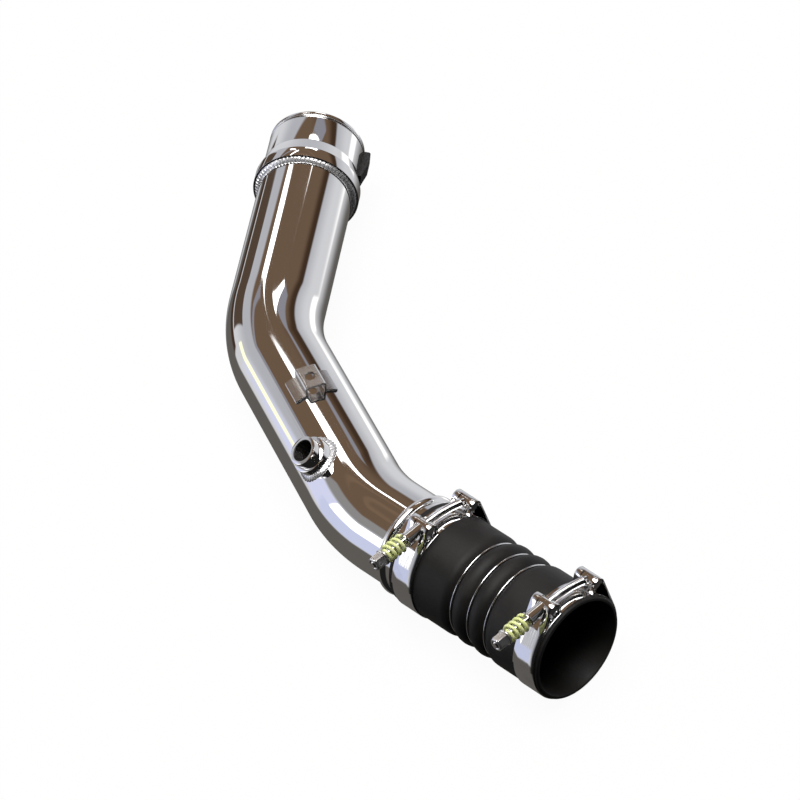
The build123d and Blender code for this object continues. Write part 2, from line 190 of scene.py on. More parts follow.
class StudioSettings(bpy.types.PropertyGroup):
    """Camera place and the surroundings that the polish mirrors."""

    azimuth: turn("View azimuth", 55.21, "Camera's turn round the part, 0 looks along +Y")
    elevation: turn("View elevation", 44.59, "Camera's height over the horizon")
    roll: turn("View roll", 13.41, "Camera's clockwise roll")
    distance: FloatProperty(name="Distance", description="Camera to target",
                            default=3.428, subtype="DISTANCE")
    target: FloatVectorProperty(name="Target", description="Point at the picture's middle",
                                default=(0.0027, -0.0115, 0.0411), size=3, subtype="TRANSLATION", precision=5)
    lens: ratio("Lens", 202.5, "Focal length in millimetres on a 36 mm sensor")
    paper: tint("Paper", (1.0, 1.0, 1.0), "Background that the camera sees")
    ceiling: tint("Ceiling", (0.150, 0.098, 0.063), "Brown panels overhead")
    beam: tint("Beam", (0.052, 0.030, 0.018), "Dark beam between panels and wall")
    wall: tint("Wall", (0.66, 0.67, 0.70), "Pale wall behind the part")
    shade: tint("Wall shade", (0.46, 0.47, 0.51), "Upper, shaded part of the pale wall")
    lilac: tint("Lilac", (0.26, 0.26, 0.30), "Dim cool reflections under the lamps")
    unlit: tint("Unlit", (0.012, 0.012, 0.012), "Dark room behind the camera")
    overhead: tint("Overhead", (6.5, 6.5, 6.5), "Soft light straight above the part")
    cool: tint("Cool wall", (0.60, 0.64, 0.86), "Pale wall lit from a window")
    ground: tint("Ground", (0.115, 0.108, 0.10), "Dark floor round the stage")
    lamp: tint("Lamp", (3.0, 3.0, 3.0), "Strip lamps and windows")


SIZE_GROUPS = {
    "pipe_sizes": PipeSizes,
    "hose_sizes": HoseSizes,
    "pipe_finish": FinishColours,
    "pipe_studio": StudioSettings,
}


# Shader expressions
class Signal:
    """A shader socket that can be used in plain arithmetic."""

    def __init__(self, tree, socket):
        self.tree = tree
        self.socket = socket

    def math(self, operation, *others):
        values = {number: other for number, other in enumerate((self, *others))}
        return add_node(self.tree, "ShaderNodeMath", {"operation": operation}, values)

    def __add__(self, other):
        return self.math("ADD", other)

    def __radd__(self, other):
        return self.math("ADD", other)

    def __sub__(self, other):
        return self.math("SUBTRACT", other)

    def __rsub__(self, other):
        return add_node(self.tree, "ShaderNodeMath", {"operation": "SUBTRACT"}, {0: other, 1: self})

    def __mul__(self, other):
        return self.math("MULTIPLY", other)

    def __rmul__(self, other):
        return self.math("MULTIPLY", other)

    def __abs__(self):
        return self.math("ABSOLUTE")

    def part(self, name):
        """Another output of the same node."""
        return Signal(self.tree, self.socket.node.outputs[name])

    def ramp(self, low, high):
        """Smooth step from 0 at low to 1 at high."""
        sockets = {"Value": self, "From Min": low, "From Max": high}
        return add_node(self.tree, "ShaderNodeMapRange", {"interpolation_type": "SMOOTHSTEP"}, sockets)

    def near(self, centre, half, soft):
        """1 within half of centre, falling to 0 over soft."""
        return 1 - abs(self - centre).ramp(half, half + soft)

    def mix(self, low, high):
        """Colour between low and high by this value."""
        sockets = {"Factor": self, 6: low, 7: high}
        return add_node(self.tree, "ShaderNodeMix", {"data_type": "RGBA"}, sockets, 2)


def add_node(tree, kind, settings=None, sockets=None, output=0):
    """Node of this type with its settings, socket values and links, as the Signal of one output."""
    node = tree.nodes.new(kind)
    for name, value in (settings or {}).items():
        setattr(node, name, value)
    for key, value in (sockets or {}).items():
        if isinstance(value, Signal):
            tree.links.new(value.socket, node.inputs[key])
        elif node.inputs[key].type == "RGBA" and len(value) == 3:
            node.inputs[key].default_value = (*value, 1.0)
        else:
            node.inputs[key].default_value = value
    return Signal(tree, node.outputs[output]) if len(node.outputs) else None


def new_material(name):
    """Empty node material and its tree."""
    material = bpy.data.materials.get(name) or bpy.data.materials.new(name)
    material.use_nodes = True
    material.node_tree.nodes.clear()
    return material, material.node_tree


def finish_material(tree, **sockets):
    """Principled surface with these sockets, joined to the output."""
    named = {key.replace("_", " "): value for key, value in sockets.items()}
    shader = add_node(tree, "ShaderNodeBsdfPrincipled", None, named)
    add_node(tree, "ShaderNodeOutputMaterial", None, {"Surface": shader})


def noise(tree, scale, detail=3.0, stretch=None):
    """Noise over the part's own coordinates, in features per metre."""
    place = add_node(tree, "ShaderNodeTexCoord", None, None, "Object")
    if stretch:
        place = add_node(tree, "ShaderNodeMapping", None, {"Vector": place, "Scale": stretch})
    return add_node(tree, "ShaderNodeTexNoise", None, {"Vector": place, "Scale": scale, "Detail": detail})


def bump(tree, height, distance, strength=1.0):
    """Bump normal from a height."""
    sockets = {"Height": height, "Distance": distance, "Strength": strength}
    return add_node(tree, "ShaderNodeBump", None, sockets)


def polished_metal(colours):
    """Mirror polish with faint buffing marks and fingerprints."""
    material, tree = new_material("polished_metal")
    cloud = noise(tree, 26.0, 4.0)
    haze = cloud.ramp(0.5, 0.78)
    marks = noise(tree, 900.0, 2.0, (1.0, 1.0, 0.08))
    finish_material(
        tree,
        Base_Color=(haze * 0.6).mix(colours.polished, [c * 0.94 for c in colours.polished]),
        Metallic=1.0,
        Roughness=0.028 + haze * 0.022 + marks * 0.012,
        Normal=bump(tree, noise(tree, 9.0, 1.0), 0.00012, 0.35),
    )
    return material


def bung_metal(colours, place, bore):
    """Polish outside, and a dull, rougher thread inside the bore, whose near-black colour is painted shade.
    """
    material, tree = new_material("bung_metal")
    spot = add_node(tree, "ShaderNodeTexCoord", None, None, "Object")
    axes = add_node(tree, "ShaderNodeSeparateXYZ", None, {"Vector": spot})
    x, y, z = axes, axes.part("Y"), axes.part("Z")
    along, aside = [x * row[0] + y * row[1] + z * row[2] + row[3] for row in place.inverted()[:2]]
    # Mask of the thread inside the bore: there the near-black base colour is painted shade, while the lower
    # metallic and higher roughness are the thread's dull finish.
    thread = 1 - (along * along + aside * aside).math("SQRT").ramp(bore + 0.5 * MM, bore + 0.65 * MM)
    # Noise that varies the tone of the painted shade in the bore, and the roughness and bump everywhere.
    mottle = noise(tree, 900.0, 3.0)
    finish_material(
        tree,
        # Near-black tones in the bore are painted shade, mottled by the noise.
        Base_Color=thread.mix(colours.polished, mottle.mix((0.05, 0.046, 0.042), (0.014, 0.013, 0.012))),
        Metallic=1 - thread * 0.5,
        Roughness=0.035 + mottle * 0.02 + thread * 0.34,
        Normal=bump(tree, mottle, 0.00005, 0.2),
    )
    return material


def weld_metal(colours):
    """Bright weld with a fine grain between its ripples."""
    material, tree = new_material("weld_metal")
    grain = noise(tree, 1500.0, 4.0)
    soot = noise(tree, 160.0, 2.0).ramp(0.55, 0.75)
    finish_material(
        tree,
        Base_Color=soot.mix(colours.weld, [c * 0.72 for c in colours.weld]),
        Metallic=0.72,
        Roughness=0.2 + grain * 0.16 + soot * 0.1,
        Normal=bump(tree, grain, 0.00025, 0.5),
    )
    return material


def bright_steel(name, colour, roughness):
    """Rolled bright steel with fine lines along the strip."""
    material, tree = new_material(name)
    lines = noise(tree, 700.0, 2.0, (1.0, 0.1, 0.1))
    smudge = noise(tree, 90.0, 3.0).ramp(0.5, 0.8)
    finish_material(
        tree,
        Base_Color=smudge.mix(colour, [c * 0.9 for c in colour]),
        Metallic=1.0,
        Roughness=roughness + lines * 0.05 + smudge * 0.05,
        Normal=bump(tree, lines, 0.00008, 0.3),
    )
    return material


def spring_zinc(colours):
    """Pale yellow-green plating that thins along the coil."""
    material, tree = new_material("spring_zinc")
    patch = noise(tree, 420.0, 3.0).ramp(0.38, 0.72)
    finish_material(
        tree,
        Base_Color=patch.mix(colours.spring, (0.88, 0.92, 0.52)),
        Metallic=0.0,
        Roughness=0.32 + patch * 0.14,
        Normal=bump(tree, noise(tree, 2600.0), 0.00006, 0.4),
    )
    return material


def hose_rubber(colours):
    """Satin black silicone with a wrapped-cloth texture and a paler bloom."""
    material, tree = new_material("hose_rubber")
    pores = noise(tree, 1700.0, 3.0)
    cloth = noise(tree, 620.0, 2.0, (0.35, 1.0, 1.0))
    bloom = noise(tree, 45.0, 4.0).ramp(0.42, 0.75)
    finish_material(
        tree,
        Base_Color=bloom.mix(colours.hose, colours.hose_worn),
        Roughness=0.5 + bloom * 0.1 + pores * 0.08,
        Specular_IOR_Level=0.3,
        Normal=bump(tree, pores * 0.6 + cloth * 0.7, 0.00035, 0.42),
    )
    return material


def moulded_plastic(name, colour, roughness):
    """Black moulding with a fine spark-eroded grain."""
    material, tree = new_material(name)
    grain = noise(tree, 3200.0, 2.0)
    scuff = noise(tree, 240.0, 3.0).ramp(0.55, 0.8)
    finish_material(
        tree,
        Base_Color=scuff.mix(colour, [c * 2.2 + 0.004 for c in colour]),
        Roughness=roughness + grain * 0.1 + scuff * 0.1,
        Normal=bump(tree, grain, 0.0001, 0.35),
    )
    return material


# Mesh helpers
def axis_matrix(origin, along, upward=(0, 0, 1)):
    """Frame with X along an axis and Z as near to upward as it can be."""
    x = Vector(along).normalized()
    z = Vector(upward)
    z = (z - x * z.dot(x)).normalized()
    y = z.cross(x)
    matrix = Matrix((x, y, z)).transposed().to_4x4()
    matrix.translation = Vector(origin)
    return matrix


def new_piece(name, node, points, faces, material, smooth_angle=32.0, place=None):
    """Mesh piece in the row frame that stands for a CAD node."""
    mesh = bpy.data.meshes.new(name)
    matrix = place or Matrix.Identity(4)
    mesh.from_pydata([matrix @ Vector(point) for point in points], [], faces)
    work = bmesh.new()
    work.from_mesh(mesh)
    bmesh.ops.remove_doubles(work, verts=work.verts, dist=1e-7)
    bmesh.ops.recalc_face_normals(work, faces=work.faces)
    for edge in work.edges:
        edge.smooth = len(edge.link_faces) == 2 and edge.calc_face_angle(0.0) < radians(smooth_angle)
    for face in work.faces:
        face.smooth = True
    work.to_mesh(mesh)
    work.free()
    mesh.materials.append(material)
    piece = bpy.data.objects.new(name, mesh)
    bpy.context.scene.collection.objects.link(piece)
    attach(piece, "root")
    if node:
        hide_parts(node)
    slot = next((part["material_slot"] for part in frame["record"]["subparts"] if part["node"] == node), None)
    return piece


def dress(node, material, edge=0.0):
    """Gives a carried-over node its finish, and a small bevel on its sharp edges."""
    piece = frame["nodes"][node]
    piece.data.materials.clear()
    piece.data.materials.append(material)
    if edge:
        bevel = piece.modifiers.new("edges", "BEVEL")
        bevel.width = edge
        bevel.segments = 2
        bevel.limit_method = "ANGLE"
        bevel.angle_limit = radians(40)
        bevel.harden_normals = False


def span(middle, width):
    """Both ends of a stretch about its middle."""
    return middle - width / 2, middle + width / 2


def full_turn(count):
    """Evenly spread angles round a full turn."""
    return [2 * pi * step / count for step in range(count)]


def end_faces(rows, columns):
    """Flat ends of a grid of points whose rows are closed rings."""
    return [tuple(range(columns)), tuple(range((rows - 1) * columns, rows * columns))[::-1]]


def grid_faces(rows, columns, wrap_rows=False, wrap_columns=False, skip=None):
    """Quads of a grid of points that runs row by row."""
    faces = []
    for row in range(rows if wrap_rows else rows - 1):
        for column in range(columns if wrap_columns else columns - 1):
            if skip and skip(row, column):
                continue
            next_row, next_column = (row + 1) % rows, (column + 1) % columns
            faces.append((row * columns + column, row * columns + next_column,
                          next_row * columns + next_column, next_row * columns + column))
    return faces


def arc_points(centre, radius, start, end, count):
    """Points on a flat arc, angles in radians."""
    steps = [start + (end - start) * step / (count - 1) for step in range(count)]
    return [(centre[0] + radius * cos(step), centre[1] + radius * sin(step)) for step in steps]


def lathe(profile, segments, skip=None):
    """Closed profile of station and radius pairs, turned about X."""
    points = []
    for station, radius in profile:
        for angle in full_turn(segments):
            points.append((station, -radius * sin(angle), radius * cos(angle)))
    return points, grid_faces(len(profile), segments, wrap_rows=True, wrap_columns=True, skip=skip)


def rounded(profile, edge, steps=3):
    """Closed profile with each corner cut back to a small arc."""
    result = []
    count = len(profile)
    for number, corner in enumerate(profile):
        before, after = Vector(profile[number - 1]), Vector(profile[(number + 1) % count])
        corner = Vector(corner)
        back, ahead = (before - corner), (after - corner)
        reach = min(edge, back.length * 0.45, ahead.length * 0.45)
        first, last = corner + back.normalized() * reach, corner + ahead.normalized() * reach
        for step in range(steps + 1):
            t = step / steps
            point = first * (1 - t) ** 2 + corner * 2 * t * (1 - t) + last * t**2
            result.append((point.x, point.y))
    return result


def ring_wire(station, mean_radius, section, sweep=2 * pi, start=0.0, around=160, sides=16):
    """Round wire bent about X, closed when the sweep is a full turn."""
    closed = sweep > 2 * pi - 1e-6
    rows = around if closed else around + 1
    points = []
    for row in range(rows):
        angle = start + sweep * row / around
        for turned in full_turn(sides):
            radius = mean_radius + section / 2 * cos(turned)
            points.append((station + section / 2 * sin(turned), -radius * sin(angle), radius * cos(angle)))
    faces = grid_faces(rows, sides, wrap_rows=closed, wrap_columns=True)
    if not closed:
        faces += end_faces(rows, sides)
    return points, faces


def tube(path, radius, sides=16):
    """Round rod along points, with flat ends."""
    points, normal = [], None
    for number, spot in enumerate(path):
        way = (path[min(number + 1, len(path) - 1)] - path[max(number - 1, 0)]).normalized()
        normal = way.orthogonal() if normal is None else normal
        normal = (normal - way * normal.dot(way)).normalized()
        side = way.cross(normal)
        for angle in full_turn(sides):
            points.append(spot + (normal * cos(angle) + side * sin(angle)) * radius)
    faces = grid_faces(len(path), sides, wrap_columns=True)
    return points, faces + end_faces(len(path), sides)


def ripple(phase, low, rise):
    """Height along one weld ripple, from its steep front to its slow fall."""
    front = 0.12
    return low + rise * ((1 - phase) ** 0.7 if phase > front else (phase / front) ** 0.6)


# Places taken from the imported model
def hose_frame(sizes):
    """Frame with X out of the hose, at the end of the second bend."""
    mount = MOUNTS["hose_outlet"]
    mouth = Vector(mount["pos_m"])
    mouth.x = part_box("hose")[1][0]
    return axis_matrix(mouth - Vector(mount["axis"]) * sizes.end, mount["axis"])


def collar_frame(sizes):
    """Frame with X into the collar from its rim."""
    mount = MOUNTS["collar_socket"]
    way = -Vector(mount["axis"])
    return axis_matrix(Vector(mount["pos_m"]) - way * sizes.socket_depth / 2, way)


def bung_frame(sizes):
    """Frame with Z out of the bung, at the pipe's middle, and X along the pipe."""
    mount = MOUNTS["sensor_port"]
    out = Vector(mount["axis"])
    along = middle_way(sizes)
    half = (sizes.bung_height - sizes.bung_mouth) / 2
    return axis_matrix(Vector(mount["pos_m"]) - out * (sizes.tube + half), along, out)


def middle_way(sizes):
    """Direction of the straight between the bends."""
    return Vector((cos(sizes.hose_bend), -sin(sizes.hose_bend), 0))


def centre_line(sizes):
    """Points, directions and stations along the pipe, from inside the collar to inside the hose."""
    base = hose_frame(bpy.context.scene.hose_sizes)
    heading = sizes.hose_bend + sizes.collar_bend
    start = collar_frame(sizes) @ Vector((sizes.collar_length - sizes.collar_seat, 0, 0))
    runs = [
        (sizes.collar_run - sizes.collar_length + sizes.collar_seat, 0.0),
        (sizes.bend * sizes.collar_bend, sizes.collar_bend),
        (sizes.middle_run, 0.0),
        (sizes.bend * sizes.hose_bend, sizes.hose_bend),
        (sizes.hose_run, 0.0),
    ]
    spot, stations = Vector(start), []
    travelled = -sum(length for length, _ in runs[:-1])
    for length, bent in runs:
        count = max(2, round(length / STATION_STEP))
        for step in range(count):
            ahead = length / count
            stations.append((Vector(spot), Vector((cos(heading), -sin(heading), 0)), travelled))
            heading -= bent / count / 2
            chord = ahead if not bent else 2 * sizes.bend * sin(bent / count / 2)
            spot += Vector((cos(heading), -sin(heading), 0)) * chord
            heading -= bent / count / 2
            travelled += ahead
    stations.append((Vector(spot), Vector((cos(heading), -sin(heading), 0)), travelled))
    return stations


class PIPE_OT_tube(bpy.types.Operator):
    """Polished pipe with its two bends and rolled bead"""

    bl_idname = "pipe.tube"
    bl_label = "Pipe"

    def execute(self, context):
        sizes = context.scene.pipe_sizes
        metal = polished_metal(context.scene.pipe_finish)
        segments = 144
        crest = sizes.tube + sizes.bead_height - sizes.bead_round
        blend = 2.0 * MM

        def radius_at(station):
            """Outside radius, with the bead blended in."""
            off = abs(station - sizes.bead_station)
            if off >= sizes.bead_round + blend:
                return sizes.tube
            hump = crest + sqrt(max(sizes.bead_round**2 - off**2, 0.0))
            reach = sqrt(sizes.bead_round**2 - (sizes.tube - crest) ** 2)
            if off < reach - blend / 2:
                return hump
            t = min(max((off - reach + blend / 2) / (blend * 1.5), 0.0), 1.0)
            return max(sizes.tube, (1 - t) ** 2 * (hump - sizes.tube) + sizes.tube)

        rings = []
        stations = centre_line(sizes)
        fine = []
        for number, (spot, way, travelled) in enumerate(stations):
            fine.append((spot, way, travelled))
            if number + 1 < len(stations) and abs(travelled - sizes.bead_station) < 12 * MM:
                for part in (0.25, 0.5, 0.75):
                    between = spot.lerp(stations[number + 1][0], part)
                    fine.append((between, way, travelled + STATION_STEP * part))
        for spot, way, travelled in fine:
            rings.append((spot, way, radius_at(travelled)))
        for spot, way, travelled in reversed(fine):
            rings.append((spot, way, radius_at(travelled) - sizes.tube + sizes.bore))
        points = []
        up = Vector((0, 0, 1))
        for spot, way, radius in rings:
            side = up.cross(way)
            for angle in full_turn(segments):
                points.append(spot + (side * cos(angle) + up * sin(angle)) * radius)
        bung = bung_frame(sizes)
        origin, out = bung.translation, bung.col[2].to_3d()

        def under_bung(row, column):
            """Face inside the bung's bore."""
            offset = points[row * segments + column] - origin
            height = offset.dot(out)
            return height > 0 and (offset - out * height).length < sizes.bung_bore * 0.93

        faces = grid_faces(len(rings), segments, wrap_rows=True, wrap_columns=True, skip=under_bung)
        new_piece("pipe_tube", "pipe", points, faces, metal)
        return {"FINISHED"}


class PIPE_OT_collar(bpy.types.Operator):
    """Turned collar with its clip, seal, tab and weld"""

    bl_idname = "pipe.collar"
    bl_label = "Collar"

    def execute(self, context):
        sizes = context.scene.pipe_sizes
        colours = context.scene.pipe_finish
        place = collar_frame(sizes)
        cone_end = sizes.collar_length - sizes.band_length
        cone_start = cone_end - sizes.cone_length
        groove = span(sizes.groove_station, sizes.clip_groove)
        clip_floor = sizes.spigot - sizes.clip_depth
        seal = span(sizes.seal_station, sizes.seal_groove)
        seal_floor = sizes.socket + sizes.seal_section
        seat = sizes.collar_length - sizes.collar_seat
        stop = sizes.socket - sizes.stop_drop
        profile = [
            (0, sizes.spigot - sizes.rim_edge),
            (sizes.rim_edge, sizes.spigot),
            (groove[0], sizes.spigot),
            (groove[0], clip_floor),
            (groove[1], clip_floor),
            (groove[1], sizes.spigot),
            (cone_start, sizes.spigot),
            (cone_end, sizes.collar_band),
            (sizes.collar_length, sizes.collar_band),
            (sizes.collar_length, sizes.tube),
            (seat, sizes.tube),
            (seat, sizes.bore),
            (sizes.socket_depth + sizes.stop_cone, stop),
            (sizes.socket_depth, stop),
            (sizes.socket_depth, sizes.socket),
            (seal[1], sizes.socket),
            (seal[1], seal_floor),
            (seal[0], seal_floor),
            (seal[0], sizes.socket),
            (sizes.lead, sizes.socket),
            (0, sizes.socket + sizes.lead),
        ]
        points, faces = lathe(rounded(profile, FINE), 180)
        new_piece("collar_body", "collar", points, faces, polished_metal(colours), place=place)

        wire = bright_steel("bright_wire", colours.wire, 0.1)
        sweep = 2 * pi - sizes.clip_opening
        clip_radius = clip_floor + sizes.clip_wire / 2
        clip = ring_wire(sizes.clip_station, clip_radius, sizes.clip_wire, sweep, -pi / 2)
        new_piece("clip_wire", "retaining_clip", *clip, wire, place=place)
        rubber = moulded_plastic("seal_rubber", colours.tab, 0.4)
        ring = ring_wire(sizes.seal_station, seal_floor - sizes.seal_section / 2, sizes.seal_section)
        new_piece("seal_ring", "collar_seal", *ring, rubber, place=place)
        self.weld(sizes, colours, place)

        dress("locating_tab", moulded_plastic("tab_plastic", colours.tab, 0.42), 0.5 * MM)
        return {"FINISHED"}

    def weld(self, sizes, colours, place):
        """Fillet weld with overlapping ripples."""
        ripples, around = 74, 74 * 10
        leg = sizes.weld_leg
        profile = [(0, 0), (0, 1), (0.16, 1.0), (0.42, 0.86), (0.7, 0.58), (0.9, 0.28), (1.0, 0.0)]
        points = []
        for step, angle in enumerate(full_turn(around)):
            phase = (step * ripples / around) % 1.0
            swell = ripple(phase, 0.80, 0.20)
            wander = 1 + 0.035 * sin(angle * 7) + 0.03 * sin(angle * 17 + 1)
            for along, outward in profile:
                scale = leg * (swell * wander if along and outward else 1.0) * 0.97
                station = sizes.collar_length + along * scale
                radius = sizes.tube + outward * scale
                points.append((station, -radius * sin(angle), radius * cos(angle)))
        faces = grid_faces(around, len(profile), wrap_rows=True, wrap_columns=True)
        new_piece("collar_bead", "collar_weld", points, faces, weld_metal(colours), 60, place)


class PIPE_OT_fittings(bpy.types.Operator):
    """Sensor bung with its weld, and the folded bracket"""

    bl_idname = "pipe.fittings"
    bl_label = "Bung and bracket"

    def execute(self, context):
        sizes = context.scene.pipe_sizes
        colours = context.scene.pipe_finish
        self.bung(sizes, bung_metal(colours, bung_frame(sizes), sizes.bung_bore))
        self.weld(sizes, weld_metal(colours))
        sheet = bright_steel("bracket_sheet", [c * 0.86 for c in colours.polished], 0.2)
        dress("bracket", sheet, 0.35 * MM)
        return {"FINISHED"}

    def bung(self, sizes, metal):
        """Stepped bung, saddled on the pipe, with its thread inside."""
        top = sizes.tube + sizes.bung_height
        step = sizes.tube + sizes.bung_base_height
        base, nose, bore = sizes.bung_base, sizes.bung_nose, sizes.bung_bore
        segments, edge = 96, 0.5 * MM
        outer = [(step - edge, base), (step - edge * 0.3, base - edge * 0.3), (step, base - edge)]
        outer += [(step, nose + 0.3 * MM), (step + 0.3 * MM, nose)]
        outer += [(top - edge, nose), (top - edge * 0.3, nose - edge * 0.3), (top, nose - edge)]
        mouth = [(top, bore + sizes.bung_mouth), (top - sizes.bung_mouth, bore)]
        turns = int((sizes.bung_height - 3 * MM) / sizes.bung_pitch)
        per_turn = 6
        columns = []
        for segment, angle in enumerate(full_turn(segments)):
            saddle = sqrt(sizes.tube**2 - (base * sin(angle)) ** 2) - 0.2 * MM
            inner = sqrt(sizes.tube**2 - (bore * sin(angle)) ** 2) - 0.6 * MM
            column = [(saddle, base)] + outer + mouth
            for number in range(turns * per_turn):
                height = top - 0.7 * MM - number * sizes.bung_pitch / per_turn
                wave = abs(((number / per_turn + segment / segments) % 1.0) * 2 - 1)
                column.append((max(height, inner), bore + 0.55 * MM * (1 - wave)))
            column.append((inner, bore))
            columns.append([(radius * cos(angle), radius * sin(angle), height) for height, radius in column])
        points = [column[row] for row in range(len(columns[0])) for column in columns]
        faces = grid_faces(len(columns[0]), segments, wrap_rows=True, wrap_columns=True)
        new_piece("bung_body", "sensor_bung", points, faces, metal, 40, bung_frame(sizes))

    def weld(self, sizes, metal):
        """Rippled bead that follows the saddle round the bung."""
        ripples, around = 34, 34 * 12
        base, width, rise = sizes.bung_base, sizes.bung_weld, 2.6 * MM
        profile = [(0, 0), (0, 1.0), (0.22, 0.96), (0.5, 0.8), (0.78, 0.5), (0.95, 0.2), (1.0, 0)]
        points = []
        for step, angle in enumerate(full_turn(around)):
            phase = (step * ripples / around) % 1.0
            swell = ripple(phase, 0.76, 0.22)
            wander = 1 + 0.05 * sin(angle * 5 + 0.6)
            for outward, upward in profile:
                radius = base + outward * width * (swell * wander if outward else 1.0) * 0.95
                saddle = sqrt(sizes.tube**2 - (radius * sin(angle)) ** 2)
                height = saddle + upward * rise * swell - (0.25 * MM if not upward else 0)
                points.append((radius * cos(angle), radius * sin(angle), height))
        faces = grid_faces(around, len(profile), wrap_rows=True, wrap_columns=True)
        new_piece("bung_bead", "bung_weld", points, faces, metal, 60, bung_frame(sizes))


class PIPE_OT_hose(bpy.types.Operator):
    """Black bellows hose and its wire rings"""

    bl_idname = "pipe.hose"
    bl_label = "Hose"

    def execute(self, context):
        sizes = context.scene.hose_sizes
        colours = context.scene.pipe_finish
        place = hose_frame(sizes)
        reach = (sizes.pitch - sizes.floor) / 2
        hump = (reach**2 + sizes.valley**2) / (2 * sizes.valley)
        centre_radius = sizes.cuff - hump
        first = sizes.first_ring - sizes.pitch / 2

        def bellows(shrink):
            """Stations and radii along the bellows, in from the outside by this much."""
            radius = hump - shrink
            floor_radius = sizes.cuff - sizes.valley - shrink
            half = acos((floor_radius - centre_radius) / radius)
            line = []
            for number in range(sizes.rings + 1):
                middle = first + sizes.pitch * number
                low = 0 if number == 0 else -half
                high = 0 if number == sizes.rings else half
                count = 9 if low and high else 6
                for angle in [low + (high - low) * step / (count - 1) for step in range(count)]:
                    line.append((middle + radius * sin(angle), centre_radius + radius * cos(angle)))
            return line

        edge = sizes.edge
        front = arc_points((sizes.start + edge, sizes.cuff - edge), edge, pi, pi / 2, 5)
        back = arc_points((sizes.end - edge, sizes.cuff - edge), edge, pi / 2, 0, 5)
        bore = sizes.cuff - sizes.wall
        plain, mouth = 20 * MM, 0.5 * MM
        profile = front + [(sizes.start + plain, sizes.cuff)] + bellows(0)
        profile += [(sizes.end - plain, sizes.cuff)] + back
        profile += [(sizes.end, bore + mouth), (sizes.end - mouth, bore)]
        profile += bellows(sizes.wall)[::-1] + [(sizes.start, bore)]
        points, faces = lathe(profile, 160)
        new_piece("hose_body", "hose", points, faces, hose_rubber(colours), 45, place)
        wire = bright_steel("bright_wire", colours.wire, 0.1)
        for number in range(sizes.rings):
            radius = sizes.cuff - sizes.valley + sizes.ring_wire / 2
            ring = ring_wire(sizes.first_ring + sizes.pitch * number, radius, sizes.ring_wire)
            new_piece(f"hose_wire_{number + 1}", f"hose_ring_{number + 1}", *ring, wire, place=place)
        return {"FINISHED"}


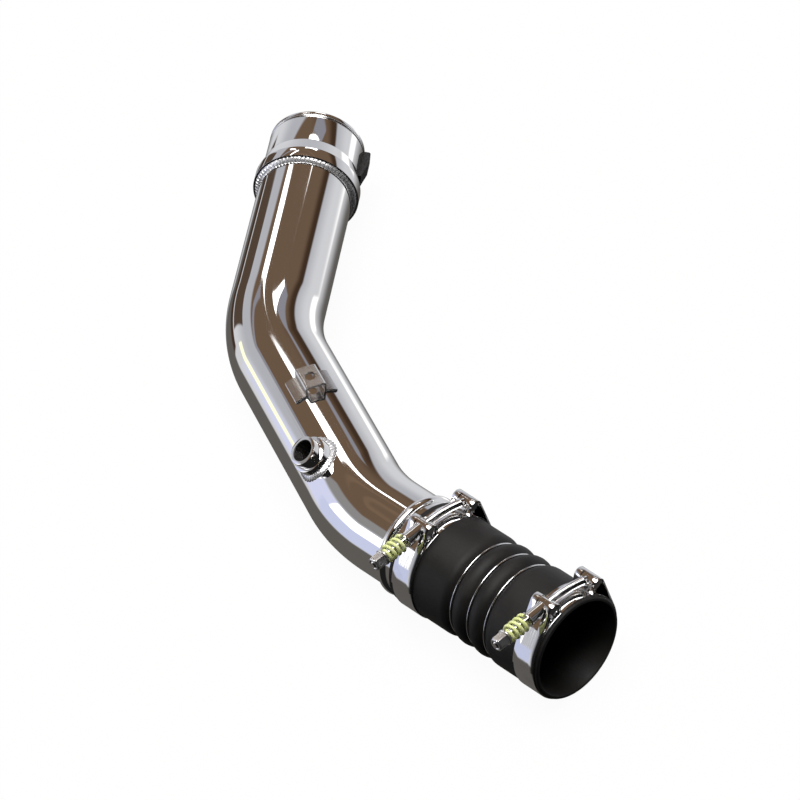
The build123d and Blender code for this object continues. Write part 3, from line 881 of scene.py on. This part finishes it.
class PIPE_OT_clamps(bpy.types.Operator):
    """Two sprung T-bolt clamps"""

    bl_idname = "pipe.clamps"
    bl_label = "Clamps"

    def execute(self, context):
        sizes = context.scene.hose_sizes
        colours = context.scene.pipe_finish
        steel = bright_steel("clamp_steel", colours.steel, 0.045)
        satin = bright_steel("nut_steel", colours.steel, 0.26)
        zinc = spring_zinc(colours)
        for name in ("inner_clamp", "outer_clamp"):
            low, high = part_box(f"{name}_band")
            middle = hose_frame(sizes).translation.copy()
            middle.x = (low[0] + high[0]) / 2
            lean = Matrix.Rotation(-sizes.lean, 4, "X")
            place = Matrix.Translation(middle) @ lean
            self.band(name, sizes, steel, place)
            self.bolt(name, sizes, steel, place)
            self.spring(name, sizes, zinc, place)
            self.nut(name, sizes, satin, place)
        return {"FINISHED"}

    def bolt_axis(self, sizes):
        """Frame with X along the bolt, from the clamp's middle to the nut."""
        return axis_matrix((0, 0, sizes.bolt_height), (0, -1, 0))

    def loop_path(self, sizes):
        """Middle line of one band end, up from the ring, round its barrel and back."""
        half = sizes.band_sheet / 2
        ring = sizes.band_inside + half
        lap = ring + sizes.band_sheet
        wrap = sizes.barrel + half
        offset = sizes.barrel_offset
        span = hypot(offset, sizes.bolt_height)
        lean = atan2(sizes.bolt_height, offset) - acos((lap - wrap) / span)
        wall = offset - wrap
        foot = sqrt(ring**2 - wall**2)
        line = [(wall, foot + (sizes.bolt_height - foot) * step / 6) for step in range(6)]
        line += arc_points((offset, sizes.bolt_height), wrap, pi, lean, 17)
        start = Vector(line[-1])
        end = Vector((lap * cos(lean), lap * sin(lean)))
        line += [tuple(start.lerp(end, step / 14)) for step in range(1, 14)]
        line += arc_points((0, 0), lap, lean, lean - sizes.lap, 16)
        return line

    def head_side(self, spot, sizes):
        """Point of a loop, turned down round the hose to the head's place."""
        across, up = spot
        swing = sizes.head_turn
        return (across * cos(swing) + up * sin(swing), up * cos(swing) - across * sin(swing))

    def band(self, name, sizes, steel, place):
        """Strip folded into a loop at each end, with a slot for the bolt."""
        half = sizes.band_sheet / 2
        ring = sizes.band_inside + half
        loop = self.loop_path(sizes)
        right = [self.head_side(spot, sizes) for spot in loop]
        left = [(-across, up) for across, up in loop]
        start = atan2(right[0][1], right[0][0])
        end = atan2(left[0][1], left[0][0]) - 2 * pi
        around = arc_points((0, 0), ring, start, end, 132)
        path = right[::-1] + around[1:-1] + left
        spots = loop[::-1] + [None] * len(around[1:-1]) + loop
        slot = sizes.sleeve + 0.2 * MM
        width = sizes.band_width / 2
        edge = 0.22 * MM
        columns = [-width, -width + edge, -slot, slot, width - edge, width]
        normals = []
        for number in range(len(path)):
            before = Vector(path[max(number - 1, 0)])
            after = Vector(path[min(number + 1, len(path) - 1)])
            way = (after - before).normalized()
            normals.append(Vector((-way.y, way.x)))
        outline = [(x, 1) for x in columns] + [(x, -1) for x in reversed(columns)]
        points = []
        for spot, normal in zip(path, normals):
            for x, face in outline:
                thickness = half - (edge * 0.6 if abs(x) == width else 0)
                place_at = Vector(spot) + normal * thickness * face
                points.append((x, place_at.x, place_at.y))
        top, low = sizes.bolt_height + slot, sizes.bolt_height - sizes.slot_drop

        def in_slot(row, column):
            """Face of the strip that the bolt's slot takes away."""
            if column not in (2, 8) or spots[row] is None:
                return False
            across, up = spots[row]
            clear = hypot(across, up) > ring + sizes.band_sheet * 1.6
            through = row > len(loop) or across < sizes.barrel_offset
            return clear and through and low < up < top

        count = len(outline)
        faces = grid_faces(len(path), count, wrap_columns=True, skip=in_slot)
        skipped = {row for row in range(len(path) - 1) if in_slot(row, 2)}
        for row in range(len(path) - 1):
            if row in skipped:
                first, second = row * count, (row + 1) * count
                faces.append((first + 2, second + 2, second + 9, first + 9))
                faces.append((first + 3, first + 8, second + 8, second + 3))
            if (row in skipped) != (row + 1 in skipped):
                first = (row + 1) * count
                faces.append((first + 2, first + 3, first + 8, first + 9))
        faces += end_faces(len(path), count)
        new_piece(f"{name}_strip", f"{name}_band", points, faces, steel, 38, place)
        dress(f"{name}_bridge", steel)

    def bolt(self, name, sizes, steel, place):
        """T-headed bolt, bent down to its head, with its thread, the drilled trunnion and the sleeve."""
        spring_end = sizes.sleeve_end + sizes.spring_length
        tip = spring_end + sizes.flange_length + sizes.nut_length + sizes.bolt_end
        head = self.head_side((sizes.barrel_offset, sizes.bolt_height), sizes)
        run, drop = head[0] + sizes.bend_start, sizes.bolt_height - head[1]
        bent = 2 * atan2(drop, run)
        bend = (run**2 + drop**2) / (2 * drop)
        arc = bend * bent
        length = arc + tip - sizes.bend_start
        segments, per_turn, plain = 28, 6, 7.0 * MM
        pitch, root = sizes.bolt_pitch, sizes.bolt - 0.62 * sizes.bolt_pitch
        rows = [(plain * step / 4, sizes.bolt) for step in range(5)]
        count = int((length - plain - 1.2 * MM) / pitch * per_turn)
        rows += [(plain + 0.3 * MM + number * pitch / per_turn, None) for number in range(count)]
        rows += [(length - 0.8 * MM, root), (length, root - 0.5 * MM)]
        points = []
        for station, radius in rows:
            swing = max(1 - station / arc, 0) * bent
            past = max(station - arc, 0)
            middle = (bend * sin(swing) - sizes.bend_start - past,
                      sizes.bolt_height - bend * (1 - cos(swing)))
            for segment, angle in enumerate(full_turn(segments)):
                shown = radius
                if radius is None:
                    wave = abs(((station / pitch + segment / segments) % 1.0) * 2 - 1)
                    crest = min(max(wave * 1.25 - 0.1, 0.0), 1.0)
                    fade = min(1.0, (length - station) / (2.2 * MM) + 0.2)
                    shown = root + (sizes.bolt - root) * crest * fade
                out = shown * cos(angle)
                points.append((shown * sin(angle),
                               middle[0] + out * sin(swing), middle[1] + out * cos(swing)))
        faces = grid_faces(len(rows), segments, wrap_columns=True)
        faces += end_faces(len(rows), segments)
        base = len(points)
        barrel = self.barrel_mesh(sizes)
        points += [(x, head[0] + y, head[1] + z) for x, y, z in barrel[0]]
        faces += [tuple(base + index for index in face) for face in barrel[1]]
        new_piece(f"{name}_threaded_bolt", f"{name}_t_bolt", points, faces, steel, 30, place)

        along = self.bolt_axis(sizes)
        spot = Matrix.Translation((0, -sizes.barrel_offset, sizes.bolt_height))
        new_piece(f"{name}_barrel", f"{name}_trunnion", *barrel, steel, 30, place @ spot)
        sleeve = [
            (sizes.barrel_offset + sizes.barrel * 0.55, sizes.bolt),
            (sizes.barrel_offset + sizes.barrel * 0.55, sizes.sleeve),
            (sizes.sleeve_end - sizes.shoulder_length, sizes.sleeve),
            (sizes.sleeve_end - sizes.shoulder_length, sizes.shoulder),
            (sizes.sleeve_end, sizes.shoulder),
            (sizes.sleeve_end, sizes.bolt),
        ]
        points, faces = lathe(rounded(sleeve, FINE), 64)
        new_piece(f"{name}_spacer", f"{name}_sleeve", points, faces, steel, 35, place @ along)

    def barrel_mesh(self, sizes):
        """Solid round bar along X with chamfered ends."""
        half, radius, edge = sizes.barrel_length / 2, sizes.barrel, 0.5 * MM
        profile = [(-half, 0.3 * MM), (-half, radius - edge), (-half + edge, radius), (half - edge, radius)]
        profile += [(half, radius - edge), (half, 0.3 * MM)]
        return lathe(profile, 40)

    def spring(self, name, sizes, zinc, place):
        """Coil of even pitch, with its wire cut flat at both ends."""
        along = self.bolt_axis(sizes)
        section = sizes.spring_wire / 2
        start = sizes.sleeve_end + section
        travel = sizes.spring_length - 2 * section
        steps = 260
        path = []
        for step in range(steps + 1):
            t = step / steps
            angle = 2 * pi * sizes.spring_turns * t
            station = start + travel * t
            spot = (station, -sizes.spring_mean * sin(angle), sizes.spring_mean * cos(angle))
            path.append(along @ Vector(spot))
        points, faces = tube(path, section * 0.985, 18)
        new_piece(f"{name}_coil", f"{name}_spring", points, faces, zinc, 50, place)

    def nut(self, name, sizes, steel, place):
        """Flanged hexagon nut with chamfered corners."""
        along = self.bolt_axis(sizes)
        start = sizes.sleeve_end + sizes.spring_length
        hex_start = start + sizes.flange_length
        end = hex_start + sizes.nut_length
        apothem, segments, inside, edge = sizes.nut_flats / 2, 96, sizes.bolt * 1.01, 0.5 * MM
        corner = apothem / cos(pi / 6)
        rows = [
            (start, inside, None),
            (start, sizes.flange, None),
            (hex_start - edge, sizes.flange, None),
            (hex_start, sizes.flange - edge, None),
            (hex_start, None, corner),
            (end - 1.3 * MM, None, corner),
            (end - 0.9 * MM, None, corner - 0.25 * MM),
            (end - 0.35 * MM, None, apothem),
            (end, None, apothem - edge),
            (end, inside + 0.4 * MM, None),
            (end - 0.4 * MM, inside, None),
        ]
        points = []
        for station, radius, limit in rows:
            for angle in full_turn(segments):
                shown = radius
                if limit is not None:
                    flat = apothem / cos((angle + pi / 6) % (pi / 3) - pi / 6)
                    shown = min(flat, limit)
                points.append((station, -shown * sin(angle), shown * cos(angle)))
        faces = grid_faces(len(rows), segments, wrap_rows=True, wrap_columns=True)
        new_piece(f"{name}_hex", f"{name}_nut", points, faces, steel, 24, place @ along)


class PIPE_OT_stage(bpy.types.Operator):
    """White floor, the surroundings that the polish mirrors, and the camera"""

    bl_idname = "pipe.stage"
    bl_label = "Stage"

    def execute(self, context):
        studio = context.scene.pipe_studio
        context.scene.view_settings.view_transform = "Standard"
        self.camera(context, studio)
        self.surroundings(context, studio)
        self.floor(context, studio)
        return {"FINISHED"}

    def camera(self, context, studio):
        """Long lens, turned, raised and rolled as in the photograph."""
        forward = Vector((-sin(studio.azimuth) * cos(studio.elevation),
                          cos(studio.azimuth) * cos(studio.elevation), -sin(studio.elevation)))
        level = Vector((cos(studio.azimuth), sin(studio.azimuth), 0))
        upright = level.cross(forward)
        right = level * cos(studio.roll) - upright * sin(studio.roll)
        above = upright * cos(studio.roll) + level * sin(studio.roll)
        matrix = Matrix((right, above, -forward)).transposed().to_4x4()
        matrix.translation = Vector(studio.target) - forward * studio.distance
        data = bpy.data.cameras.new("camera")
        data.lens = studio.lens
        data.sensor_width = 36.0
        data.clip_end = 50.0
        camera = bpy.data.objects.new("camera", data)
        camera.matrix_world = matrix
        context.scene.collection.objects.link(camera)
        context.scene.camera = camera

    def surroundings(self, context, studio):
        """Room of brown panels, pale walls and strip lamps, all by direction."""
        world = bpy.data.worlds.new("studio")
        world.use_nodes = True
        context.scene.world = world
        tree = world.node_tree
        tree.nodes.clear()
        place = add_node(tree, "ShaderNodeTexCoord", None, None, "Generated")
        axes = add_node(tree, "ShaderNodeSeparateXYZ", None, {"Vector": place})
        x, y, z = axes, axes.part("Y"), axes.part("Z")
        away = pi / 2 + studio.azimuth
        ahead = x * cos(away) + y * sin(away)
        aside = y * cos(away) - x * sin(away)
        bearing = aside.math("ARCTAN2", ahead) * degrees(1)
        height = z.math("ARCSINE") * degrees(1)

        edge = bearing.ramp(-32, -8) * 12 + 17
        above = height - edge
        wall = height.ramp(20, -4).mix(studio.shade, studio.wall)
        colour = height.ramp(-44, -19).mix(studio.ground, wall)
        dark = (1 - bearing.ramp(-28, -8)) * (1 - above.ramp(5, 14))
        streak = (height + bearing * 0.12).math("SINE").ramp(0.2, 1.0) * height.ramp(45, 50) * 0.35
        ceiling = streak.mix(studio.ceiling, [c * 1.7 for c in studio.ceiling])
        colour = above.ramp(-1.5, 2).mix(colour, dark.mix(ceiling, studio.beam))
        # Bearing, half its width, height, half its rise and softness, all in degrees, then the colour
        patches = [
            (-45, 13, -17, 3.5, 5, (1.25, 1.25, 1.25)),
            (33.5, 8, 4, 10, 1.5, (0.085, 0.058, 0.040)),
            (35, 12, -17.5, 7.5, 2, (0.055, 0.033, 0.022)),
            (75, 22, 32, 5, 3, (0.27, 0.265, 0.265)),
            (66, 8, 6, 16, 3, (0.68, 0.71, 0.92)),
            (80, 12, -4, 10, 4, studio.cool),
            (80.5, 8, 15, 7, 2, (2.0, 2.0, 2.0)),
            (53.5, 4, 3.5, 3, 1, (1.2, 1.2, 0.85)),
            (70, 46, -50, 31, 4, studio.ground),
            (-30, 10, 35, 3, 2, studio.lilac),
            (8, 9, 45.5, 0.7, 0.5, studio.lamp),
        ]
        for bearing_at, half, height_at, rise, soft, shade in patches:
            mask = bearing.near(bearing_at, half, soft) * height.near(height_at, rise, soft)
            colour = mask.mix(colour, shade)
        # Bearing, half its width, slope, level and half its rise, then the colour
        strips = [
            (8.5, 3.5, 0.75, 44.8, 1.0, studio.lamp),
            (-26, 11, -0.083, 43.2, 1.4, studio.lamp),
            (19, 6, 0.41, 43.8, 0.8, studio.lilac),
            (37, 12, 0.15, 37.35, 0.8, studio.lilac),
        ]
        for bearing_at, half, slope, level, rise, shade in strips:
            mask = bearing.near(bearing_at, half, 1.5) * (height + bearing * slope).near(level, rise, 0.6)
            colour = mask.mix(colour, shade)
        colour = abs(bearing).ramp(98, 112).mix(colour, studio.unlit)
        colour = height.ramp(62, 70).mix(colour, studio.overhead)
        seen = add_node(tree, "ShaderNodeLightPath", None, None, "Is Camera Ray")
        background = add_node(tree, "ShaderNodeBackground", None, {"Color": seen.mix(colour, studio.paper)})
        add_node(tree, "ShaderNodeOutputWorld", None, {"Surface": background})

    def floor(self, context, studio):
        """Pale floor that keeps a faint shadow and lets the mirrors see the room."""
        mesh = bpy.data.meshes.new("floor")
        reach = 6.0
        corners = [(-reach, -reach, 0), (reach, -reach, 0), (reach, reach, 0), (-reach, reach, 0)]
        mesh.from_pydata(corners, [], [(0, 1, 2, 3)])
        material, tree = new_material("floor_paper")
        matte = add_node(tree, "ShaderNodeBsdfDiffuse", None, {"Color": (0.8, 0.8, 0.8)})
        glow = add_node(tree, "ShaderNodeEmission", None, {"Color": studio.paper, "Strength": 1.0})
        clear = add_node(tree, "ShaderNodeBsdfTransparent")
        path = add_node(tree, "ShaderNodeLightPath", None, None, "Is Camera Ray")
        bright = add_node(tree, "ShaderNodeMixShader", None, {0: 0.96, 1: matte, 2: glow})
        hidden = add_node(tree, "ShaderNodeMixShader", None, {0: path, 1: clear, 2: bright})
        add_node(tree, "ShaderNodeOutputMaterial", None, {"Surface": hidden})
        mesh.materials.append(material)
        floor = bpy.data.objects.new("floor", mesh)
        context.scene.collection.objects.link(floor)


class PIPE_PT_panel(bpy.types.Panel):
    """Lists the steps that dress the part"""

    bl_label = "Intercooler pipe"
    bl_idname = "PIPE_PT_panel"
    bl_space_type = "VIEW_3D"
    bl_region_type = "UI"
    bl_category = "Pipe"

    def draw(self, context):
        for step in STEPS:
            self.layout.operator(step.bl_idname)


STEPS = (PIPE_OT_stage, PIPE_OT_tube, PIPE_OT_collar, PIPE_OT_fittings, PIPE_OT_hose, PIPE_OT_clamps)
CLASSES = (*SIZE_GROUPS.values(), *STEPS, PIPE_PT_panel)


def register():
    """Adds the classes and their settings."""
    for item in CLASSES:
        bpy.utils.register_class(item)
    for name, group in SIZE_GROUPS.items():
        setattr(bpy.types.Scene, name, PointerProperty(type=group))


def unregister():
    """Takes the classes and their settings away."""
    for name in SIZE_GROUPS:
        delattr(bpy.types.Scene, name)
    for item in reversed(CLASSES):
        bpy.utils.unregister_class(item)


def main():
    """Dresses the part."""
    register()
    bpy.ops.pipe.stage()
    bpy.ops.pipe.tube()
    bpy.ops.pipe.collar()
    bpy.ops.pipe.fittings()
    bpy.ops.pipe.hose()
    bpy.ops.pipe.clamps()


if __name__ == "__main__":
    main()
